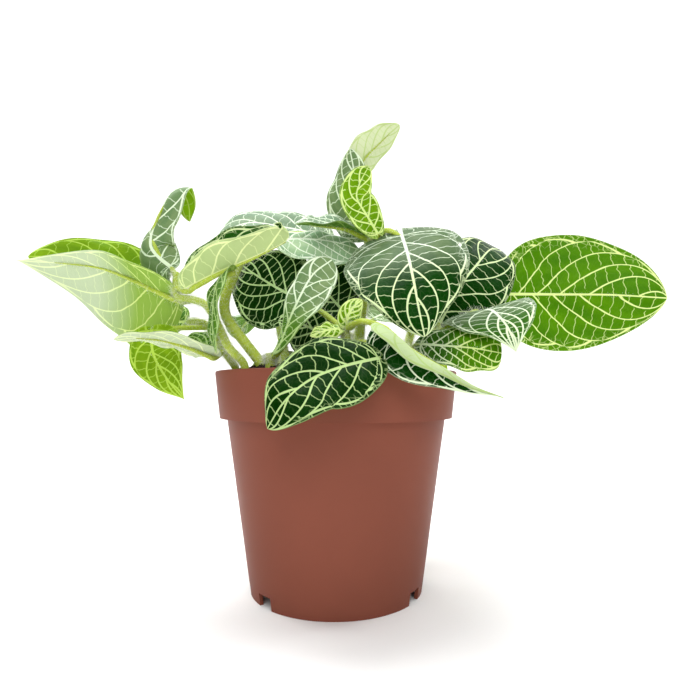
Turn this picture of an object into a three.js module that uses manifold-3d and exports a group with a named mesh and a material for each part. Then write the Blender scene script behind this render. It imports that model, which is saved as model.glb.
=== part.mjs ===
// A nerve plant in its nursery pot: a thin moulded plastic pot, its filling of soil, and the
// leafy stems that stand in the soil. Millimetres, +Z up. The pot stands on z = 0 and the front
// of the plant faces -Y. Points are written about the pot's axis, and each finished mesh is
// then moved so that the origin is the middle of the whole plant's outline, seen from above.

import * as THREE from 'three';
import { mergeVertices } from 'three/addons/utils/BufferGeometryUtils.js';
import Module from 'manifold-3d';

// The pot's axis, from the middle of the plant's outline
const POT_PLACE = [-4.6, -18.4];

// Pot, a standard 10.5 cm size
const POT_HEIGHT = 94.7;
const RIM_RADIUS = 52.5;
const RIM_FOOT_RADIUS = 50.6;
const RIM_BAND = 19.7;
const RIM_EDGE = 0.4;
const BODY_TOP_RADIUS = 47.6;
const BASE_RADIUS = 37.7;
const POT_WALL = 1.6;
const FLOOR_UNDERSIDE = 4.2;
const FLOOR_THICKNESS = 1.6;
const POT_SIDES = 40;
const SHOULDER = POT_HEIGHT - RIM_BAND;
const FLOOR_TOP = FLOOR_UNDERSIDE + FLOOR_THICKNESS;

// Drain notches in the pot's foot ring, each with a slot in the floor behind it, as degrees
// round from the front towards +X
const NOTCH_HEIGHT = 5.2;
const NOTCH_DEPTH = 9;
const NOTCH_WIDTH = 7.8;
const DRAIN_SLOT = 8;
const NOTCH_TURNS = [-78, -47, 58, 89, 170, 200];

// Soil, heaped a little above the rim
const SOIL_GAP = 0.35;
const SOIL_CROWN = 99;
const SOIL_MIDWAY = 98.3;
const SOIL_SHOULDER = 96.4;
const SOIL_SHOULDER_RADIUS = 42;
const SOIL_EDGE = 91.5;

// Stems, petioles and blades
const STEM_RADIUS = 2.1;
const THIN_STEM_RADIUS = 1.6;
const STEM_SIDES = 6;
const STEM_STEP = 9;
const HOLE_CLEARANCE = 0.35;
const PLANTED_DEPTH = 13;
const PETIOLE_RADIUS = 1.15;
const PETIOLE_SINK = 0.1;
const PETIOLE_SIDES = 5;
const PETIOLE_STEP = 8;
const BLADE_THICKNESS = 0.8;
const BLADE_STATIONS = 10;
const BLADE_STRIPS = 2;
const BLADE_BASE_HALF = 1.1;
const BLADE_TIP_HALF = 0.6;
const SHARPEST_FOLD = 0.55;
const MIDRIB_SHARE = 0.08;

const wasm = await Module();
wasm.setup();

const finishes = {
  pot: { color: 0x87503f, roughness: 0.5 },
  soil: { color: 0x2c2119, roughness: 1 },
  foliage: { color: 0x2f6d24, roughness: 0.55 },
};

const vector = (point) => new THREE.Vector3(...point);

// A closed three.js geometry as a solid that can be joined and cut
function solid(geometry) {
  const bare = geometry.index ? geometry.toNonIndexed() : geometry.clone();
  bare.deleteAttribute('normal');
  bare.deleteAttribute('uv');
  const merged = mergeVertices(bare, 1e-4);
  return new wasm.Manifold(new wasm.Mesh({
    numProp: 3,
    vertProperties: Float32Array.from(merged.attributes.position.array),
    triVerts: Uint32Array.from(merged.index.array),
  }));
}

// A solid as a named mesh in its finish
function part(name, body, finish) {
  const { vertProperties, triVerts } = body.getMesh();
  const geometry = new THREE.BufferGeometry();
  geometry.setAttribute('position', new THREE.BufferAttribute(vertProperties, 3));
  geometry.setIndex(new THREE.BufferAttribute(triVerts, 1));
  geometry.translate(...POT_PLACE, 0);
  geometry.computeVertexNormals();
  const mesh = new THREE.Mesh(geometry, new THREE.MeshStandardMaterial(finishes[finish]));
  mesh.name = name;
  return mesh;
}

// A smooth curve through points chosen by hand
const route = (points) => new THREE.CatmullRomCurve3(points.map(vector), false, 'catmullrom', 0.5);

// A round stalk along a curve, with a step for about every `step` millimetres of it
function stalk(curve, radius, sides, step) {
  const section = new THREE.Shape();
  for (let i = 0; i < sides; i += 1) {
    const turn = (i / sides) * 2 * Math.PI;
    const place = [radius * Math.cos(turn), radius * Math.sin(turn)];
    if (i === 0) section.moveTo(...place);
    else section.lineTo(...place);
  }
  section.closePath();
  const steps = Math.max(2, Math.round(curve.getLength() / step));
  return solid(new THREE.ExtrudeGeometry(section, { extrudePath: curve, steps }));
}

// A blade's half-width at a share s of its midrib, for a widest half-width of 1: the curve
// s^base (1 - s)^tip is round at the petiole and pointed at the tip
function outline(s, base, tip) {
  const widest = base / (base + tip);
  return (s / widest) ** base * ((1 - s) / (1 - widest)) ** tip;
}

// The direction that the upper side faces at a share s, between directions spaced evenly
function facing(directions, s) {
  const place = s * (directions.length - 1);
  const first = Math.min(Math.floor(place), directions.length - 2);
  return vector(directions[first]).lerp(vector(directions[first + 1]), place - first);
}

// A thin closed blade about a midrib. Each half leaves the midrib at its rise and reaches the
// margin at its curl (degrees above the flat), and the margin ripples. Halves are [left, right]
// for an eye that looks along the midrib to the tip with the upper side on top.
function blade({
  midrib, face, half, rise = [8, 8], curl = [-6, -6], ripple = [0.8, 2.5, 0], lobe = 2, ends = [0.5, 0.72],
}) {
  const curve = route(midrib);
  const [height, waves, phase] = ripple;
  const columns = 2 * BLADE_STRIPS + 1;
  const upper = [];
  const lower = [];
  for (let i = 0; i <= BLADE_STATIONS; i += 1) {
    const s = (1 - Math.cos((Math.PI * i) / BLADE_STATIONS)) / 2;
    const centre = curve.getPointAt(s);
    const along = curve.getTangentAt(s);
    const up = facing(face, s);
    up.addScaledVector(along, -up.dot(along)).normalize();
    const right = new THREE.Vector3().crossVectors(along, up);
    const shape = outline(s, ...ends);
    for (let j = -BLADE_STRIPS; j <= BLADE_STRIPS; j += 1) {
      const side = j < 0 ? 0 : 1;
      const sign = j < 0 ? -1 : 1;
      const v = Math.abs(j) / BLADE_STRIPS;
      const least = THREE.MathUtils.lerp(BLADE_BASE_HALF, BLADE_TIP_HALF, s);
      const width = Math.max(half[side] * shape, least);
      const bend = (a) => THREE.MathUtils.degToRad(rise[side] + (curl[side] - rise[side]) * a);
      const wave = height * shape * v * v * Math.sin(2 * Math.PI * waves * s + phase + 2 * side);
      const place = centre.clone()
        .addScaledVector(right, sign * width * v * Math.cos(bend(v / 2)))
        .addScaledVector(up, width * v * Math.sin(bend(v / 2)) + wave)
        .addScaledVector(along, -lobe * v * v * (1 - s) ** 3);
      const out = up.clone().multiplyScalar(Math.cos(bend(v)))
        .addScaledVector(right, -sign * Math.sin(bend(v)));
      if (j === 0) out.copy(up).divideScalar(Math.max(SHARPEST_FOLD, Math.cos(bend(0))));
      upper.push(place.clone().addScaledVector(out, BLADE_THICKNESS / 2));
      lower.push(place.clone().addScaledVector(out, -BLADE_THICKNESS / 2));
    }
  }
  const offset = upper.length;
  const faces = [];
  const at = (i, j) => i * columns + j;
  for (let i = 0; i < BLADE_STATIONS; i += 1) {
    for (let j = 0; j < columns - 1; j += 1) {
      const [a, b, c, d] = [at(i, j), at(i, j + 1), at(i + 1, j + 1), at(i + 1, j)];
      faces.push(a, b, c, a, c, d);
      faces.push(offset + a, offset + c, offset + b, offset + a, offset + d, offset + c);
    }
  }
  const wall = (a, b) => faces.push(a, offset + a, offset + b, a, offset + b, b);
  for (let j = 0; j < columns - 1; j += 1) {
    wall(at(0, j), at(0, j + 1));
    wall(at(BLADE_STATIONS, j + 1), at(BLADE_STATIONS, j));
  }
  for (let i = 0; i < BLADE_STATIONS; i += 1) {
    wall(at(i + 1, 0), at(i, 0));
    wall(at(i, columns - 1), at(i + 1, columns - 1));
  }
  const geometry = new THREE.BufferGeometry();
  const places = [...upper, ...lower].flatMap((p) => p.toArray());
  geometry.setAttribute('position', new THREE.Float32BufferAttribute(places, 3));
  geometry.setIndex(faces);
  return solid(geometry);
}

// The petiole: from its joint on the stem, into the blade's base and on under the midrib
function petiole(leaf) {
  const curve = route(leaf.midrib);
  const under = [0, MIDRIB_SHARE].map((s) => {
    const up = facing(leaf.face, s);
    const along = curve.getTangentAt(s);
    up.addScaledVector(along, -up.dot(along)).normalize();
    const sink = s === 0 ? PETIOLE_RADIUS : PETIOLE_RADIUS + PETIOLE_SINK;
    return curve.getPointAt(s).addScaledVector(up, -sink).toArray();
  });
  return stalk(route([...leaf.from, ...under]), PETIOLE_RADIUS, PETIOLE_SIDES, PETIOLE_STEP);
}

// Every leafy stem: its route from the soil's surface to its growing tip, and its leaves. A
// leaf's `from` is its petiole's route from inside the stem to just short of the blade.
const shoots = {
  shoot_left_arch: {
    stem: [[-30, -22, 97], [-36.5, -22, 106], [-44, -21, 116], [-45, -20, 124], [-42.5, -17, 133],
      [-39, -15, 142], [-34, -10, 151], [-24, 4, 158]],
    leaves: {
      silver_back: { from: [[-26, 2, 157], [-12, 18, 162]],
        midrib: [[-4, 24, 162.5], [-24, 24, 166.5], [-43, 22, 168.5], [-57, 18, 162]],
        face: [[0, -0.75, 0.66], [-0.1, -0.75, 0.66]], half: [15, 14] },
      silver_mid: { from: [[-34, -9, 150], [-29, -7, 151]],
        midrib: [[-26, -6, 152], [-14, -4, 153], [-1, 1, 153], [10, 6, 151]],
        face: [[0, -0.8, 0.6], [-0.1, -0.9, 0.45]], half: [6, 15], ends: [0.5, 0.5] },
      left_edge: { from: [[-43, -18, 131], [-41, -25, 134]],
        midrib: [[-40, -30, 133], [-42.5, -33, 131], [-44.8, -35, 125], [-45.8, -35, 116], [-45.8, -34.5, 108],
          [-45, -34, 101]],
        face: [[-0.75, -0.55, 0.3], [-0.85, -0.52, 0.1]], half: [7, 7] },
    },
  },
  shoot_left: {
    radius: THIN_STEM_RADIUS,
    stem: [[-36, -26, 97], [-42, -27, 104], [-47, -26, 114], [-52, -23, 121], [-59, -19, 124],
      [-66, -16, 126], [-67, -14, 136]],
    leaves: {
      left_pale: { from: [[-59, -18, 124], [-63, -13, 124]],
        midrib: [[-66, -11, 125], [-78, -8, 130], [-95, 0, 138], [-115, 5, 144], [-146, 5, 146]],
        face: [[0.2, 0.75, 0.65], [0.2, 0.75, 0.65]], half: [13, 30], rise: [-10, -10], curl: [-20, -40],
        ends: [0.45, 1.2] },
      left_back: { from: [[-66, -15, 127], [-70, 4, 132]],
        midrib: [[-78, 11, 136], [-101, 16, 147], [-122, 16, 150], [-144, 10, 149]],
        face: [[0, -0.9, 0.4], [0, -0.9, 0.4]], half: [10, 12], ends: [0.9, 0.65] },
      left_upright: { from: [[-67, -14, 134]],
        midrib: [[-70, -12, 139], [-75, -11, 143], [-79, -10, 148], [-78.5, -10, 154], [-76, -9, 160.5],
          [-73, -9, 168], [-70.5, -7, 173], [-69, -3, 175.2], [-67.5, 0.5, 173.4], [-66.5, 2.5, 169],
          [-66.5, 3, 163]],
        face: [[0.2, -1, 0.1], [-0.2, -1, 0], [-0.7, -0.7, 0], [-0.7, -0.6, 0.3], [-0.2, 0, 1],
          [0.2, 0.9, 0.2]], half: [17, 10.5], rise: [-5, -14], curl: [-74, -40], ends: [0.36, 0.7] },
      left_arch: { from: [[-67, -15, 130]],
        midrib: [[-61, -20, 128], [-51, -25, 131.5], [-43, -27, 134.5], [-35, -28, 137.5], [-27, -28, 141],
          [-20, -28, 144.5], [-18, -27, 148], [-20, -26, 151], [-24, -25, 153]],
        face: [[-0.3, -0.15, 0.93], [-0.3, -0.12, 0.93], [-0.5, -0.1, 0.8], [-0.95, -0.1, 0.2]],
        half: [14.5, 11], rise: [80, 60], curl: [74, 50], ends: [0.5, 0.75] },
    },
  },
  shoot_low_left: {
    radius: THIN_STEM_RADIUS,
    stem: [[-44, -4, 96], [-49, -6, 104], [-56, -6, 115], [-65, -4, 117]],
    leaves: {
      low_dark: { from: [[-62, -5, 117]],
        midrib: [[-69, 5, 118], [-88, 17, 118], [-107, 20, 115]],
        face: [[0, -0.9, 0.4], [0, -0.9, 0.4]], half: [11, 11] },
      low_pale: { from: [[-49, -6, 104]],
        midrib: [[-50, -17, 101], [-61, -28, 105], [-73, -32, 107], [-84, -34, 106]],
        face: [[0, 0.2, 0.98], [0, 0.2, 0.98]], half: [10, 10] },
      low_bright: { from: [[-56, -6, 114], [-68, -12, 113]],
        midrib: [[-77, -14, 112], [-76, -15, 102], [-70, -17, 92], [-62, -19, 83]],
        face: [[-0.2, -0.95, 0.2], [-0.2, -0.95, 0.2]], half: [14, 11], ends: [0.35, 1.1] },
      low_under: { from: [[-49, -6, 103]],
        midrib: [[-54, -2, 105], [-62, 2, 108], [-71, 4, 108]],
        face: [[0, -0.8, 0.6], [0, -0.8, 0.6]], half: [8, 8] },
    },
  },
  shoot_centre_left: {
    stem: [[-25, -30, 97], [-25, -30, 101]],
    leaves: {
      centre_narrow: { from: [[-25, -30, 99]],
        midrib: [[-23, -33, 101], [-20, -34, 105], [-17, -34, 113], [-13, -34, 122], [-8, -33, 131],
          [-1, -31, 137]],
        face: [[-0.9, -0.4, 0], [-0.5, -0.85, 0], [0, -1, 0.1]], half: [6, 11], ends: [0.85, 0.45] },
    },
  },
  shoot_centre: {
    stem: [[6, -30, 97.5], [5, -31, 103], [4, -32, 111]],
    leaves: {
      left_dark: { from: [[4, -31, 110], [-6, -20, 119]],
        midrib: [[-14, -8, 125], [-25, -4, 131], [-36, -1, 138], [-44, 1, 144]],
        face: [[-0.1, -0.95, 0.2], [-0.1, -0.95, 0.2]], half: [20, 18] },
      front_drape: { from: [[5, -31, 104], [12, -42, 104]],
        midrib: [[16, -54, 97.5], [4, -58, 94.5], [-7, -60, 90], [-15, -63, 83], [-21, -61, 74]],
        face: [[0, -0.77, 0.64], [-0.5, -0.8, 0.3]], half: [16, 15] },
      right_folded: { from: [[4, -32, 110], [10, -41, 112]],
        midrib: [[17, -46, 110], [23, -51, 105], [29, -55, 99], [38, -56, 94], [48, -55, 88], [59, -52, 84]],
        face: [[0, -1, 0.1], [0, -1, 0.1]], half: [8, 12], rise: [100, -5], curl: [165, 0],
        ends: [0.42, 1.6] },
      young_up: { from: [[4, -32, 110]],
        midrib: [[5, -34, 111], [5, -36, 114], [7, -37, 117.5], [10.5, -38, 120.5]],
        face: [[0, -1, 0], [0, -1, 0]], half: [4, 5] },
      young_left: { from: [[4, -32, 110]],
        midrib: [[2, -34, 110], [-3, -36, 109], [-9, -37, 107]],
        face: [[0, -0.8, 0.6], [0, -0.8, 0.6]], half: [4, 4] },
      inner_left: { from: [[5, -30, 103], [2, -20, 104]],
        midrib: [[-2, -16, 107], [-9, -14, 112], [-16, -14, 115], [-24, -14, 116]],
        face: [[0, -1, 0.1], [0, -1, 0.1]], half: [12.5, 9] },
    },
  },
  shoot_top: {
    stem: [[10, 0, 98.5], [11, 4, 119], [14, 3, 141], [17, -4, 154]],
    leaves: {
      top_edge: { from: [[16, -2, 151]],
        midrib: [[13, 1, 156], [4, -4, 158], [-7, -10, 157], [-17, -14, 156.5]],
        face: [[0, -0.42, 0.9], [0, -0.42, 0.9]], half: [6, 12], rise: [25, 22], curl: [20, 15] },
      top_tall: { from: [[15, 2, 147]],
        midrib: [[14, 4, 157], [11, 6, 167], [8, 7, 176], [8, 7, 187], [6, 7, 198]],
        face: [[-0.5, -0.85, 0], [-0.5, -0.85, 0]], half: [15, 9], ends: [0.5, 0.75] },
      top_flap: { from: [[15, 3, 148], [11, 11, 165], [7, 13, 180]],
        midrib: [[9, 13, 190], [12, 14, 196], [18, 14, 202], [24, 12, 207], [29, 9, 210]],
        face: [[-0.3, 0.7, 0.65], [-0.3, 0.6, 0.75]], half: [7.5, 10], ends: [0.3, 0.6] },
      top_young: { from: [[17, -4, 152]],
        midrib: [[18, -8, 154], [13, -9, 162], [9, -9, 169], [10, -9, 175], [14, -8, 183]],
        face: [[0, -1, 0], [0, -1, 0]], half: [8, 7], rise: [25, 25], curl: [10, 10], ends: [0.5, 0.6] },
      centre_heart: { from: [[17, -4, 153], [22, -7, 156]],
        midrib: [[28, -12, 152], [29, -26, 140], [30, -38, 126], [31, -43, 116], [33, -44, 106]],
        face: [[-0.22, -0.64, 0.76], [0, -1, 0.05]], half: [25, 27], rise: [8, 8], curl: [-28, -28], lobe: 8,
        ends: [0.28, 0.75] },
      inner_dark: { from: [[11, 4, 117]],
        midrib: [[6, 8, 120], [-2, 10, 129], [-10, 11, 138], [-18, 10, 145]],
        face: [[-0.2, -0.95, 0.2], [-0.2, -0.95, 0.2]], half: [13, 18] },
    },
  },
  shoot_right: {
    stem: [[27, -14, 98], [36, -16, 106], [49, -13, 113], [60, -2, 120], [70, 14, 127]],
    leaves: {
      right_dark: { from: [[44, -14, 110]],
        midrib: [[45, -6, 116], [54, 0, 132], [64, 8, 144], [73, 18, 154], [81, 30, 158]],
        face: [[0.5, -0.75, 0.3], [0.3, -0.6, 0.8]], half: [18, 21] },
      right_silver: { from: [[60, -2, 120]],
        midrib: [[64, -10, 121], [65, -18, 119], [67, -27, 113], [68, -33, 107], [69, -35, 101]],
        face: [[-0.2, -0.4, 0.88], [-0.2, -0.7, 0.6]], half: [18, 21], ends: [0.35, 1.2] },
      right_low: { from: [[34, -16, 104]],
        midrib: [[34, -24, 105], [45, -26, 104], [55, -27, 103], [65.5, -28, 101]],
        face: [[0.1, -0.8, 0.6], [0.1, -0.8, 0.6]], half: [12, 12], ends: [0.5, 0.3] },
      right_bright: { from: [[69, 13, 126.5]],
        midrib: [[80, 23, 134], [109, 24, 134], [133, 20, 133], [155, 12, 130]],
        face: [[0, -1, 0], [0, -1, 0]], half: [31, 28], rise: [-4, -4], curl: [-12, -12],
        ends: [0.46, 0.66] },
    },
  },
  shoot_back: {
    stem: [[8, 22, 98], [9, 30, 108], [11, 42, 122], [14, 56, 134]],
    leaves: {
      back_crown: { from: [[14, 56, 133]],
        midrib: [[15, 62, 140], [16, 76, 148], [18, 92, 149], [20, 106, 142]],
        face: [[0, -0.2, 1], [0, 0.4, 0.9]], half: [19, 19] },
      back_upper_left: { from: [[12, 48, 127]],
        midrib: [[4, 52, 131], [-7, 58, 137], [-18, 63, 138], [-29, 68, 133]],
        face: [[0, -0.1, 1], [-0.2, 0.2, 0.95]], half: [13, 13] },
      back_right: { from: [[11, 42, 121]],
        midrib: [[19, 50, 126], [31, 62, 132], [42, 75, 132], [50, 86, 125]],
        face: [[0, -0.6, 0.8], [0.1, -0.5, 0.85]], half: [15, 15] },
      back_left: { from: [[10, 36, 114]],
        midrib: [[3, 44, 119], [-8, 54, 124], [-18, 64, 124], [-27, 72, 118]],
        face: [[0, 0.3, 0.95], [-0.2, 0.5, 0.85]], half: [14, 14] },
      back_drape: { from: [[9, 30, 107]],
        midrib: [[8, 44, 110], [7, 60, 106], [5, 70, 94], [3, 74, 78]],
        face: [[0, 0.3, 1], [0, 1, 0.2]], half: [17, 17] },
    },
  },
  shoot_back_left: {
    stem: [[-24, 16, 98], [-27, 22, 110], [-30, 28, 124], [-33, 36, 136]],
    leaves: {
      rear_left_crown: { from: [[-33, 36, 135]],
        midrib: [[-34, 42, 140], [-37, 54, 146], [-39, 68, 145], [-41, 80, 137]],
        face: [[0, -0.2, 1], [0, 0.5, 0.85]], half: [15, 15] },
      rear_left_side: { from: [[-29, 26, 119]],
        midrib: [[-34, 34, 123], [-44, 46, 127], [-53, 59, 125], [-60, 71, 117]],
        face: [[-0.2, 0.1, 1], [-0.4, 0.3, 0.9]], half: [14, 14] },
      rear_left_inner: { from: [[-28, 24, 113]],
        midrib: [[-22, 26, 117], [-13, 28, 122], [-4, 29, 124], [3, 28, 121]],
        face: [[0, -0.5, 0.87], [0.2, -0.5, 0.87]], half: [11, 11] },
      rear_left_drape: { from: [[-26, 20, 106]],
        midrib: [[-29, 34, 106], [-33, 48, 101], [-37, 58, 90], [-39, 62, 76]],
        face: [[-0.2, 0.4, 0.9], [-0.4, 0.9, 0.2]], half: [14, 14] },
    },
  },
  shoot_back_right: {
    stem: [[30, 14, 98], [34, 22, 108], [38, 32, 120], [42, 44, 130]],
    leaves: {
      rear_right_crown: { from: [[42, 44, 129]],
        midrib: [[45, 51, 138], [51, 62, 147], [57, 75, 149], [62, 88, 142]],
        face: [[0, -0.2, 1], [0.1, 0.5, 0.85]], half: [15, 15] },
      rear_right_side: { from: [[38, 32, 119]],
        midrib: [[47, 35, 119], [61, 41, 121], [74, 48, 118], [84, 55, 109]],
        face: [[0, 0.1, 1], [0.4, 0.2, 0.9]], half: [14, 14] },
      rear_right_inner: { from: [[36, 27, 114]],
        midrib: [[35, 20, 120], [31, 11, 126], [27, 2, 128], [24, -6, 126]],
        face: [[0, 0.4, 0.9], [0, 0.1, 1]], half: [11, 11] },
      rear_right_drape: { from: [[34, 22, 107]],
        midrib: [[39, 36, 107], [44, 48, 102], [48, 58, 90], [49, 62, 76]],
        face: [[0.2, 0.4, 0.9], [0.5, 0.85, 0.2]], half: [14, 14] },
    },
  },
};

// A stem's whole route, from the foot of its hole in the soil
const planted = ([[x, y, z], ...rest]) => route([
  [x, y, z - PLANTED_DEPTH], [x, y, z - PLANTED_DEPTH / 2], [x, y, z], ...rest]);

// The outer radius of the pot's tapering body at a height z
const wallRadius = (z) => THREE.MathUtils.lerp(BASE_RADIUS, BODY_TOP_RADIUS, z / SHOULDER);

// The pot: one moulded wall turned about the axis, a floor raised inside the foot ring, and
// drain notches cut through ring and floor edge
function potSolid() {
  const profile = [
    [0, FLOOR_UNDERSIDE],
    [wallRadius(FLOOR_UNDERSIDE) - POT_WALL, FLOOR_UNDERSIDE],
    [wallRadius(0) - POT_WALL, 0],
    [wallRadius(0), 0],
    [wallRadius(SHOULDER), SHOULDER],
    [RIM_FOOT_RADIUS, SHOULDER],
    [RIM_RADIUS, POT_HEIGHT - 2 * RIM_EDGE],
    [RIM_RADIUS - RIM_EDGE, POT_HEIGHT],
    [RIM_RADIUS - POT_WALL, POT_HEIGHT],
    [RIM_FOOT_RADIUS - POT_WALL, SHOULDER + POT_WALL],
    [wallRadius(SHOULDER) - POT_WALL, SHOULDER],
    [wallRadius(FLOOR_TOP) - POT_WALL, FLOOR_TOP],
    [0, FLOOR_TOP],
  ];
  const turned = new THREE.LatheGeometry(profile.map((p) => new THREE.Vector2(...p)), POT_SIDES);
  turned.rotateX(Math.PI / 2);
  let pot = solid(turned);
  for (const turn of NOTCH_TURNS) {
    const notch = new THREE.BoxGeometry(NOTCH_WIDTH, 2 * NOTCH_DEPTH, 2 * NOTCH_HEIGHT);
    notch.translate(0, -BASE_RADIUS, 0);
    notch.rotateZ(THREE.MathUtils.degToRad(turn));
    const slot = new THREE.BoxGeometry(NOTCH_WIDTH, DRAIN_SLOT, 4 * FLOOR_THICKNESS);
    slot.translate(0, DRAIN_SLOT / 2 + POT_WALL - BASE_RADIUS, FLOOR_UNDERSIDE);
    slot.rotateZ(THREE.MathUtils.degToRad(turn));
    pot = pot.subtract(solid(notch)).subtract(solid(slot));
  }
  return pot;
}

// The soil fills the pot with a hair of clearance, and each stem stands in a plain hole in it
function soilSolid() {
  const inset = POT_WALL + SOIL_GAP;
  const bottom = FLOOR_TOP + SOIL_GAP;
  const edgeRadius = THREE.MathUtils.lerp(RIM_FOOT_RADIUS, RIM_RADIUS, (SOIL_EDGE - SHOULDER) / RIM_BAND);
  const profile = [
    [0, bottom],
    [wallRadius(bottom) - inset, bottom],
    [wallRadius(SHOULDER) - inset, SHOULDER],
    [RIM_FOOT_RADIUS - inset, SHOULDER + inset],
    [edgeRadius - inset, SOIL_EDGE],
    [SOIL_SHOULDER_RADIUS, SOIL_SHOULDER],
    [0.5 * SOIL_SHOULDER_RADIUS, SOIL_MIDWAY],
    [0, SOIL_CROWN],
  ];
  const turned = new THREE.LatheGeometry(profile.map((p) => new THREE.Vector2(...p)), POT_SIDES);
  turned.rotateX(Math.PI / 2);
  let soil = solid(turned);
  for (const { stem, radius: stemRadius = STEM_RADIUS } of Object.values(shoots)) {
    const radius = stemRadius + HOLE_CLEARANCE;
    const [x, y, z] = stem[0];
    const foot = new THREE.CylinderGeometry(radius, radius, 4 * HOLE_CLEARANCE, STEM_SIDES);
    foot.rotateX(Math.PI / 2);
    foot.translate(x, y, z - PLANTED_DEPTH + HOLE_CLEARANCE);
    soil = soil.subtract(stalk(planted(stem), radius, STEM_SIDES, STEM_STEP)).subtract(solid(foot));
  }
  return soil;
}

// A leafy stem: petioles are sunk into it and into their blades
function shootSolid({ stem, radius = STEM_RADIUS, leaves }) {
  const pieces = [stalk(planted(stem), radius, STEM_SIDES, STEM_STEP)];
  for (const leaf of Object.values(leaves)) pieces.push(petiole(leaf), blade(leaf));
  const fused = pieces.reduce((whole, piece) => whole.add(piece));
  // the largest shell alone: a pocket sealed between a petiole and a blade is filled by this
  return fused.decompose().reduce((best, shell) => (shell.volume() > best.volume() ? shell : best));
}

const plant = new THREE.Group();
plant.add(part('pot', potSolid(), 'pot'));
plant.add(part('soil', soilSolid(), 'soil'));
for (const [name, shoot] of Object.entries(shoots)) plant.add(part(name, shootSolid(shoot), 'foliage'));

export default plant;
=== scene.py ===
import math

import bmesh
import bpy
import numpy as np
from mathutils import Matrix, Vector


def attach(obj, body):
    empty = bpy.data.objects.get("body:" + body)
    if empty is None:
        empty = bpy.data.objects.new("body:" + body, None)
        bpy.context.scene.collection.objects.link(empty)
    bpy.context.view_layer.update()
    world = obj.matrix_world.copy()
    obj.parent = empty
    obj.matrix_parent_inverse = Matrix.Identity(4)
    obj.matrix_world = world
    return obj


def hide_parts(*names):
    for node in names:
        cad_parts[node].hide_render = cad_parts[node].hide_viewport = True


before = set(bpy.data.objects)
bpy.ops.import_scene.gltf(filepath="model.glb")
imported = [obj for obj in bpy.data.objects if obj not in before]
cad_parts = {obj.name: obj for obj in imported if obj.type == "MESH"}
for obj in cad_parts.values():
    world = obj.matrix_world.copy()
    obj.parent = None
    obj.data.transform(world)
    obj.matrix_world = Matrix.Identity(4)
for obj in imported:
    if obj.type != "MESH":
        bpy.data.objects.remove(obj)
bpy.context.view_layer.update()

# The pot
#
# A thin injection-moulded nursery pot in terracotta-coloured plastic: a tapering wall with a
# deep band round the rim, a floor raised inside the foot ring, and drain notches cut through
# the ring and the floor's edge. All lengths here are millimetres about the pot's axis.

MM = 0.001
POT_AXIS = np.array((-0.0046, -0.0184, 0.0))
POT_HEIGHT = 94.7
RIM_RADIUS, RIM_FOOT_RADIUS, RIM_BAND = 52.5, 50.6, 19.7
BODY_TOP_RADIUS, BASE_RADIUS = 47.6, 37.7
WALL = 1.6
FLOOR_UNDERSIDE, FLOOR_TOP = 4.2, 5.8
SHOULDER = POT_HEIGHT - RIM_BAND
POT_SIDES = 144
NOTCH_TURNS = (-78, -47, 58, 89, 170, 200)
NOTCH_WIDTH = 7.8
SOFT_EDGE = 0.3
AXIS_HOLE = 0.01


def wall_radius(z):
    """The outer radius of the tapering body at height z, a straight line from foot to shoulder."""
    return BASE_RADIUS + (BODY_TOP_RADIUS - BASE_RADIUS) * z / SHOULDER


def ring_faces(rows, columns):
    """Quads between neighbouring rings of points, each ring closed on itself."""
    i, j = np.mgrid[0:rows - 1, 0:columns]
    k = (j + 1) % columns
    here, after = i * columns, (i + 1) * columns
    return np.stack([here + j, here + k, after + k, after + j], -1).reshape(-1, 4)


def revolve(profile, sides):
    """A profile of (radius r, height z) turned about the axis: x = r sin t, y = -r cos t."""
    r, z = np.array(profile, float).T[:, :, None]
    turn = np.linspace(0, 2 * np.pi, sides, endpoint=False)[None, :]
    points = np.stack([r * np.sin(turn), -r * np.cos(turn), z + 0 * turn], -1)
    return points.reshape(-1, 3), ring_faces(len(profile), sides)


def piece(name, points, faces, material, slot):
    """A piece of the model from points in millimetres about the pot's axis, riding on the pot."""
    mesh = bpy.data.meshes.new(name)
    mesh.from_pydata((points * MM + POT_AXIS).tolist(), [], [list(map(int, face)) for face in faces])
    made = bpy.data.objects.new(name, mesh)
    bpy.context.scene.collection.objects.link(made)
    mesh.materials.append(material)
    mesh.shade_smooth()
    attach(made, "root")
    return made


class Wire:
    """One value in a material. Arithmetic on it adds Math nodes, and node() adds any other."""

    def __init__(self, tree, socket):
        self.tree, self.socket = tree, socket

    def node(self, kind, settings=None, values=None, output=0):
        """A node of a kind: its settings first, then its sockets' values or wires."""
        made = self.tree.nodes.new("ShaderNode" + kind)
        for key, value in (settings or {}).items():
            setattr(made, key, value)
        for key, value in (values or {}).items():
            if isinstance(value, Wire):
                self.tree.links.new(value.socket, made.inputs[key])
            else:
                made.inputs[key].default_value = value
        return Wire(self.tree, made.outputs[output])

    def output(self, place):
        """Another output of the node that this value comes from."""
        return Wire(self.tree, self.socket.node.outputs[place])

    def math(self, operation, *others):
        """A Math node on this value and the others."""
        return self.node("Math", {"operation": operation}, dict(enumerate((self, *others))))

    def __add__(self, other):
        return self.math("ADD", other)

    def __sub__(self, other):
        return self.math("SUBTRACT", other)

    def __rsub__(self, other):
        return self.math("MULTIPLY_ADD", -1.0, other)

    def __mul__(self, other):
        return self.math("MULTIPLY", other)

    def __truediv__(self, other):
        return self.math("DIVIDE", other)

    __radd__, __rmul__ = __add__, __mul__

    def clamped(self):
        return self.node("Clamp", None, {0: self})

    def size(self):
        return self.math("ABSOLUTE")

    def blend(self, start, end):
        """A colour from start, where this value is 0, to end, where it is 1."""
        return self.node("Mix", {"data_type": "RGBA"}, {0: self, 6: start, 7: end}, 2)


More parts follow.
